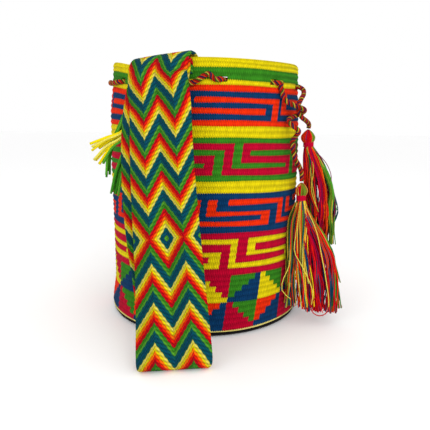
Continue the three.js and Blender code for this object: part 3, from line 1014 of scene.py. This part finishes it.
for v in band.verts:
    x, y, side = v.co.x, v.co.y, (1 if v.co.z > middle_z else -1)
    crown = math.sin(math.pi * cord_phase(x, y))
    # Painted shade, darkest in the groove between two cords.
    v[cord_shade_layer] = (1 - crown) ** 2
    edge = min((STRAP_WIDTH / 2 - abs(x)) / 1.6, 1)
    half = (STRAP_THICKNESS / 2 - RIDGE / 2 + RIDGE * crown) * (0.45 + 0.55 * edge)
    v.co = drape(x, y, side * half) * MM
print("strap points placed", len(band.verts))

# %% Dyeing the strap
dyes = []
strap_chance = random.Random(3)
cord_tone = [0.86 + 0.18 * strap_chance.random() for _ in range(400)]
face_tone = [0.86 + 0.2 * strap_chance.random() for _ in range(997)]
for face in band.faces:
    index = face[cord_layer]
    colour = LEAF if index == 0 else CHEVRONS[index % len(CHEVRONS)]
    tone = cord_tone[index] * face_tone[face.index % len(face_tone)]
    dyes.append(tuple(c * tone for c in colour[:3]) + (1.0,))
painted_shades = [v[cord_shade_layer] for v in band.verts]
woven_strap = finished("woven_strap", band, WOVEN, "bag", dyes, painted_shades)
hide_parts("shoulder_strap")

# %% [markdown]
# ## Loose yarn
# The tassels, the strap's fringes and the sewing are all single yarns, hundreds of them. One
# straight yarn is made once, from a cone with five sides whose long edges are cut into short
# lengths. Every yarn is a copy of it, bent along its own line, with its own dye.

# %% Straight yarn and bending
def straight_yarn(sides, cuts):
    """A template from z = 0 to z = 1, one unit in radius."""
    bm = bmesh.new()
    bmesh.ops.create_cone(bm, cap_ends=True, segments=sides, radius1=1, radius2=1, depth=1)
    long_edges = [e for e in bm.edges if abs(e.verts[0].co.z - e.verts[1].co.z) > 0.5]
    bmesh.ops.subdivide_edges(bm, edges=long_edges, cuts=cuts, use_grid_fill=True)
    bmesh.ops.translate(bm, vec=(0, 0, 0.5), verts=bm.verts)
    layer = bm.loops.layers.uv.new("yarn")
    for face in bm.faces:
        turns = [math.atan2(loop.vert.co.y, loop.vert.co.x) / (2 * math.pi) % 1 for loop in face.loops]
        for loop, around_it in zip(face.loops, turns):
            behind = max(turns) - around_it > 0.5
            loop[layer].uv = (loop.vert.co.z, around_it + (1 if behind else 0))
    mesh = bpy.data.meshes.new("straight_yarn")
    bm.to_mesh(mesh)
    bm.free()
    return mesh


def yarns(name, strands, material, body, sides=5, cuts=11):
    """One piece of many yarns. A strand is (stations in mm, radius in mm or radii, dye)."""
    template = straight_yarn(sides, cuts)
    count = len(template.vertices)
    bm = bmesh.new()
    for _ in strands:
        bm.from_mesh(template)
    bm.verts.ensure_lookup_table()
    bm.faces.ensure_lookup_table()
    layer = bm.loops.layers.uv["yarn"]
    faces_each = len(template.polygons)
    for k, (stations, radii, colour) in enumerate(strands):
        line, length = even_line([Vector(p) * MM for p in stations], cuts + 1)
        frames = carried_frames(line)
        girth = radii if isinstance(radii, (list, tuple)) else [radii, radii]
        for v in bm.verts[k * count:(k + 1) * count]:
            step = min(round(v.co.z * (cuts + 1)), cuts + 1)
            point, side, up = frames[step]
            place = v.co.z * (len(girth) - 1)
            j = min(int(place), len(girth) - 2)
            radius = (girth[j] + (girth[j + 1] - girth[j]) * (place - j)) * MM
            v.co = point + (side * v.co.x + up * v.co.y) * radius
        for face in bm.faces[k * faces_each:(k + 1) * faces_each]:
            for loop in face.loops:
                loop[layer].uv.x *= length
    bpy.data.meshes.remove(template)
    dyes = [strand[2] for strand in strands for _ in range(faces_each)]
    return finished(name, bm, material, body, dyes)


print("yarn tools ready")

# %% [markdown]
# ## Tassels
# A tassel is a bundle of yarns tied by the cord at its top, folded down over a small ball, and
# bound tightly below it. From there the cut ends hang loose. The yarns over the ball run from the
# knot to the neck; those of the skirt run from the neck to their own cut ends. A yarn's place in
# the bundle is an angle and a depth. Neighbours cling together in clumps, and each yarn wanders a
# little on the way, more towards its end.

# %% Tassel stations
UPPER_SHAPE = [
    (133.5, -48.7, 246.6, 0.8, 0.8), (133.5, -48.5, 242.8, 4.9, 4.9), (133.6, -48, 237.2, 8.2, 8.2),
    (134, -48, 232, 6.6, 6.6), (134.6, -48, 228.5, 3.6, 3.6), (136, -47.6, 222, 7, 6.5),
    (141.5, -46, 208, 12, 9), (147, -44.4, 190, 16, 11), (152, -42.4, 168, 18.5, 12),
    (155.5, -40, 142, 19, 12.5), (157, -37, 118, 18, 12), (158.5, -35, 96, 16.5, 11),
]
LOWER_SHAPE = [
    (124.8, -66, 180.6, 0.8, 0.8), (124.9, -66, 177, 4.3, 4.3), (125, -66, 171.4, 7, 7),
    (125, -66, 166, 5.8, 5.8), (124.9, -66.2, 161.5, 3.2, 3.2), (124.4, -67, 155, 6.4, 6),
    (121.4, -70, 132, 11.5, 10), (121.6, -74, 92, 12.5, 11), (123.4, -78.6, 56, 15.5, 12),
    (125.6, -81.4, 25, 16.5, 12),
]
SIDE_SHAPE = LOWER_SHAPE[:5] + [
    (126.5, -67, 153, 5, 5), (133, -69.4, 136, 8.5, 8), (146, -72.4, 113, 11.5, 9.5),
    (156, -74, 88, 14.5, 10.5), (161, -75, 55, 16.5, 11.5), (163.5, -75, 16, 18, 12),
]
MIDDLE_SHAPE = LOWER_SHAPE[:5] + [
    (125.4, -67, 154, 5, 5), (128.5, -69, 134, 8, 8), (134, -72, 108, 9, 9),
    (139, -75, 80, 10, 9), (142, -78, 50, 10.5, 9), (144, -80, 18, 11, 9),
]
NECK = 4


def skirt_yarn(shape, turn, depth, cut, sway, own, waviness):
    """The stations of one yarn at an angle turn and a depth in the skirt, cut to a share of it."""
    x, y, z, half_x, half_y = shape[NECK]
    stations = [(x + half_x * 0.5 * math.cos(turn), y + half_y * 0.5 * math.sin(turn), z + 3)]
    last = len(shape) - 1
    for i in range(NECK, last + 1):
        x, y, z, half_x, half_y = shape[i]
        below = (i - NECK) / (last - NECK)
        if below > cut + 0.001:
            break
        loose = waviness * below ** 0.7
        push = depth * (1 + 0.2 * below * sway[2]) + 0.1 * own[2] * below
        twist = turn + (0.4 * sway[3] + 0.2 * own[3]) * below
        stations.append((
            x + half_x * push * math.cos(twist)
            + loose * (0.7 * sway[0] * math.sin(i * 1.9 + 3 * sway[1]) + 0.6 * own[0] * math.sin(i * 2.6)),
            y + half_y * push * math.sin(twist)
            + loose * (0.7 * sway[1] * math.sin(i * 1.7 + 3 * sway[0]) + 0.6 * own[1] * math.sin(i * 2.3)),
            z - 1.5 * own[3] * below,
        ))
    return stations


def skirt(shape, count, colour_at, seed, radius=0.72, waviness=4.2, clumps=15):
    chance = random.Random(seed)
    sways = [[chance.uniform(-1, 1) for _ in range(4)] for _ in range(clumps)]
    strands = []
    for k in range(count):
        share = k * 0.618034 % 1
        turn = 2 * math.pi * share
        depth = chance.uniform(0.86, 1.0) if k < count * 0.62 else chance.uniform(0.3, 0.85)
        cut = 1 if chance.random() < 0.7 else chance.choice((0.84, 0.9, 1))
        own = [chance.uniform(-1, 1) for _ in range(4)]
        stations = skirt_yarn(shape, turn, depth, cut, sways[int(share * clumps)], own, waviness)
        size = radius * chance.uniform(0.8, 1.15)
        strands.append((stations, [size * 0.8, size, size, size, size], colour_at(math.cos(turn), chance)))
    return strands


def ball(shape, count, colour_at, seed):
    """The yarns folded down over the ball, side by side all round it in two layers."""
    chance = random.Random(seed)
    strands = []
    for k in range(2 * count):
        turn = 2 * math.pi * (k + chance.uniform(-0.3, 0.3)) / count
        lean = chance.uniform(-0.1, 0.1)
        depth = 1 if k < count else 0.8
        stations = [(x + half_x * depth * math.cos(turn + lean * i),
                     y + half_y * depth * math.sin(turn + lean * i), z)
                    for i, (x, y, z, half_x, half_y) in enumerate(shape[:NECK + 1])]
        size = chance.uniform(0.8, 1.05)
        strands.append((stations, [size * 0.7, size, size, size * 0.7], colour_at(math.cos(turn), chance)))
    return strands


print("tassel shapes", len(UPPER_SHAPE), len(LOWER_SHAPE), len(SIDE_SHAPE))

# %% [markdown]
# The colours lie in the bundle in locks rather than evenly mixed, because the yarns were cut from
# several hanks held together. Each tassel's rule picks a dye from where a yarn lies, left to right.

# %% Tassel colours
def from_locks(locks, blur):
    """A colour rule: locks of (right-hand limit, colours), from -1 at the left to 1 at the right."""
    def pick(side, chance):
        place = side + chance.uniform(-blur, blur)
        for limit, colours in locks:
            if place <= limit:
                return chance.choice(colours)
        return chance.choice(locks[-1][1])
    return pick


upper_colours = from_locks([
    (-0.8, [CRIMSON, RUST, SCARLET, PLUM]), (-0.5, [SCARLET, RUST, CRIMSON, OCHRE]),
    (-0.2, [PETROL, MOSS, CRIMSON, BLUE]), (0.2, [MAGENTA, CRIMSON, SCARLET, CRIMSON]),
    (0.45, [CRIMSON, SCARLET, RUST, PLUM]), (0.65, [SCARLET, AMBER, CRIMSON, OLIVE]),
    (0.82, [OCHRE, LEAF, GOLD, OLIVE]), (0.93, [GREEN, PETROL, OCHRE, TEAL]),
    (1.0, [MAGENTA, PLUM, TEAL]),
], 0.2)
left_colours = from_locks([
    (-0.8, [MOSS, OCHRE, TEAL, PETROL]), (-0.5, [RUST, OLIVE, OCHRE, CRIMSON]),
    (-0.15, [RUST, AMBER, SCARLET, OLIVE]), (0.2, [GREEN, PETROL, OCHRE, RUST]),
    (0.5, [OLIVE, TEAL, BLUE, SCARLET]), (0.8, [CRIMSON, SCARLET, MOSS, PLUM]),
    (1.0, [OCHRE, STRAW, GOLD, CRIMSON]),
], 0.3)
right_colours = from_locks([
    (-0.5, [MAGENTA, CRIMSON, PLUM, SCARLET]), (-0.2, [CRIMSON, SCARLET, BLUE, PLUM]),
    (0.05, [BLUE, PETROL, PETROL, CRIMSON]), (0.25, [BLUE, RUST, STRAW, PETROL]),
    (0.5, [MOSS, CRIMSON, TEAL, PETROL]), (0.75, [CRIMSON, SCARLET, RUST, BLUE]),
    (0.9, [GREEN, OLIVE, LEAF, OCHRE]), (1.0, [GREEN, OLIVE, TEAL]),
], 0.25)
ball_colours = from_locks([(-0.4, [CRIMSON, RUST, OCHRE]), (0.4, [STRAW, OLIVE, RUST, CRIMSON]),
                           (1.0, [CRIMSON, STRAW, OLIVE])], 0.3)
middle_colours = from_locks([(1.0, [MAGENTA, CRIMSON, BLUE, SCARLET, PETROL])], 0)
print("colour rules ready")

# %% Upper tassel
upper = skirt(UPPER_SHAPE, 230, upper_colours, 11) + ball(UPPER_SHAPE, 46, upper_colours, 12)
upper += [
    ([(135, -49, 229), (140, -52, 222), (152, -55, 211), (161, -53, 199), (166, -50, 186),
      (165, -50, 170), (168, -48, 155)], 0.5, PLUM),
    ([(135, -49, 229), (138, -52, 216), (141, -56, 196), (139, -58, 172), (146, -58, 150)], 0.55, OCHRE),
]
upper_tassel = yarns("upper_tassel_yarns", upper, STRANDS, "upper_tassel", cuts=15)
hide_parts("upper_tassel")

# %% [markdown]
# The lower tassel's skirt has parted in two locks: one hangs straight down and one has swung out to
# the right, with a thinner one between them. A few strays have escaped, among them a pale one that
# bows out to the left and comes back, and a red loop at the very bottom.

# %% Lower tassel
lower = skirt(LOWER_SHAPE, 130, left_colours, 21) + skirt(SIDE_SHAPE, 150, right_colours, 22)
lower += skirt(MIDDLE_SHAPE, 60, middle_colours, 23) + ball(LOWER_SHAPE, 40, ball_colours, 24)
lower += [
    ([(119, -71, 156), (113, -77, 130), (111.5, -80, 100), (110.5, -84, 78), (102, -88, 57),
      (102, -90, 46), (113, -92, 36)], 0.6, STRAW),
    ([(123, -72, 157), (118, -81, 120), (116, -86, 96), (125, -91, 80), (134, -93, 62),
      (140, -94, 46), (139, -94, 30)], 0.6, STRAW),
    ([(131, -72, 150), (143, -82, 122), (150, -87, 92), (157, -89, 60), (162, -89, 32),
      (162, -88, 20)], 0.6, STRAW),
    ([(149, -86, 42), (141, -90, 31), (140, -92, 21), (147, -93, 15), (156, -92, 15.4),
      (162, -89, 22), (160, -86, 35)], 0.7, CRIMSON),
]
lower_tassel = yarns("lower_tassel_yarns", lower, STRANDS, "lower_tassel", cuts=15)
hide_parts("lower_tassel")

# %% [markdown]
# ## Bindings
# Below each ball a magenta yarn is wound several times round the neck and tucked in. A winding is a
# coil: a line that climbs a little as it goes round, here through eight stations a turn.

# %% Neck windings
def winding(centre, radius, turns, rise):
    stations = []
    for i in range(turns * 8 + 1):
        a = 2 * math.pi * i / 8
        stations.append((centre[0] + radius * math.cos(a), centre[1] + radius * math.sin(a),
                         centre[2] + rise * (i / 8 - turns / 2)))
    return stations


for name, (x, y, z, *_), body in (("upper", UPPER_SHAPE[NECK], "upper_tassel"),
                                  ("lower", LOWER_SHAPE[NECK], "lower_tassel")):
    coil = [(winding((x, y, z), 5.9 if name == "upper" else 5.3, 4, 1.8), 1.0, MAGENTA)]
    bound = yarns(f"{name}_tassel_winding", coil, STRANDS, body, sides=8, cuts=95)
    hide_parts(f"{name}_tassel_binding")

# %% [markdown]
# ## Fringes and sewing
# The strap ends in its own loose warp: thick yarns in the strap's colours that hang from the seam.
# In front they hang behind the strap and come out at its left edge in three locks. The seams
# themselves are a zigzag of magenta yarn laid over each strap end.

# %% Front fringe
FRONT_LOCKS = [
    ([GREEN, LEAF, GREEN], 6,
     ((-82, -105, 280), (-97, -104, 246), (-110, -99, 219), (-113, -98, 197)),
     ((-79, -107, 281), (-93, -105, 246), (-107, -100, 220), (-110, -99, 192))),
    ([YELLOW, STRAW, YELLOW, LEAF, BLUE], 8,
     ((-76, -109, 270), (-88, -111, 241), (-107, -106, 232), (-127, -100, 223)),
     ((-74, -110, 268), (-86, -112, 238), (-106, -107, 225), (-120, -101, 206))),
    ([GREEN, LEAF, GREEN, GREEN], 6,
     ((-72, -111, 262), (-88, -110, 226), (-100, -105, 199), (-107, -101, 174)),
     ((-70, -113, 258), (-84, -112, 218), (-95, -107, 192), (-101, -104, 168))),
]


def fringe(name, locks, root_angles, body, seed):
    """Yarns from a seam between two angles, in locks that lie between two given lines each."""
    chance = random.Random(seed)
    total = sum(lock[1] for lock in locks)
    strands = []
    for colours, count, first, second in locks:
        for k in range(count):
            share = len(strands) / (total - 1)
            angle = root_angles[0] + (root_angles[1] - root_angles[0]) * share
            stray = Vector([chance.uniform(-1, 1) for _ in range(3)])
            ends = [Vector(a).lerp(Vector(b), k / (count - 1)) + stray * (1.2 + 1.2 * n)
                    for n, (a, b) in enumerate(zip(first, second))]
            radius = chance.uniform(1.1, 1.5)
            line = [around(angle, SEAM_RADIUS + 1, 302), *ends]
            strands.append((line, [radius, radius, radius * 1.15], chance.choice(colours)))
    return yarns(name, strands, STRANDS, body, sides=6, cuts=15)


front_fringe = fringe("front_strap_warp_ends", FRONT_LOCKS, (-38, -25), "bag", 5)
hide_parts("front_strap_fringe")

# %% Back fringe
back_lines = []
for i in range(4):
    angle = 143.5 + 4 * i
    back_lines.append([around(angle + stray * (i - 1.5), 131.5, height)
                       for height, stray in ((270, 0.2), (240, 0.6), (214 - 6 * (i % 2), 1.4))])
BACK_COLOURS = [YELLOW, LEAF, YELLOW, GREEN, BLUE, GREEN]
back_locks = [(BACK_COLOURS, 5, a, b) for a, b in zip(back_lines, back_lines[1:])]
back_fringe = fringe("back_strap_warp_ends", back_locks, (142, 157), "bag", 6)
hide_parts("back_strap_fringe")

# %% Strap sewing
CROSSINGS = 14


def sewing(angle, tilt):
    radius = SEAM_RADIUS + STRAP_THICKNESS / 2 + 0.9
    return [around(angle + 29 * (i / CROSSINGS - 0.5), radius,
                   306.5 + (i % 2) * 4 + tilt * (i / CROSSINGS - 0.5)) for i in range(CROSSINGS + 1)]


for name, angle, tilt in (("front", FRONT, 4), ("back", FRONT + 180, 0)):
    thread = [(sewing(angle, tilt), 0.7, MAGENTA)]
    sewn = yarns(f"{name}_strap_sewing", thread, STRANDS, "bag", sides=6, cuts=83)
    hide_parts(f"{name}_strap_stitching")

# %% [markdown]
# ## Floor
# The bag stands on a plain pale floor, wide enough that its edge is never seen. A trace of mottling
# keeps it from looking like an empty page.

# %% Floor
floor_bm = bmesh.new()
bmesh.ops.create_grid(floor_bm, x_segments=1, y_segments=1, size=30)
bmesh.ops.translate(floor_bm, vec=(0, 0, -0.0002), verts=floor_bm.verts)
floor_mesh = bpy.data.meshes.new("floor")
floor_bm.to_mesh(floor_mesh)
floor_bm.free()
floor = bpy.data.objects.new("floor", floor_mesh)
bpy.context.scene.collection.objects.link(floor)
pale = bpy.data.materials.new("pale_floor")
pale.use_nodes = True
paint = pale.node_tree.nodes["Principled BSDF"]
mottle = node(pale.node_tree, "ShaderNodeTexNoise")
mottle.inputs["Scale"].default_value = 6
ramp = node(pale.node_tree, "ShaderNodeMapRange")
ramp.inputs["To Min"].default_value = 0.97
ramp.inputs["To Max"].default_value = 0.99
link(pale.node_tree, mottle.outputs[0], ramp.inputs["Value"])
link(pale.node_tree, ramp.outputs[0], paint.inputs["Base Color"])
paint.inputs["Roughness"].default_value = 0.9
paint.inputs["Specular IOR Level"].default_value = 0.1
floor_mesh.materials.append(pale)
print("floor laid")
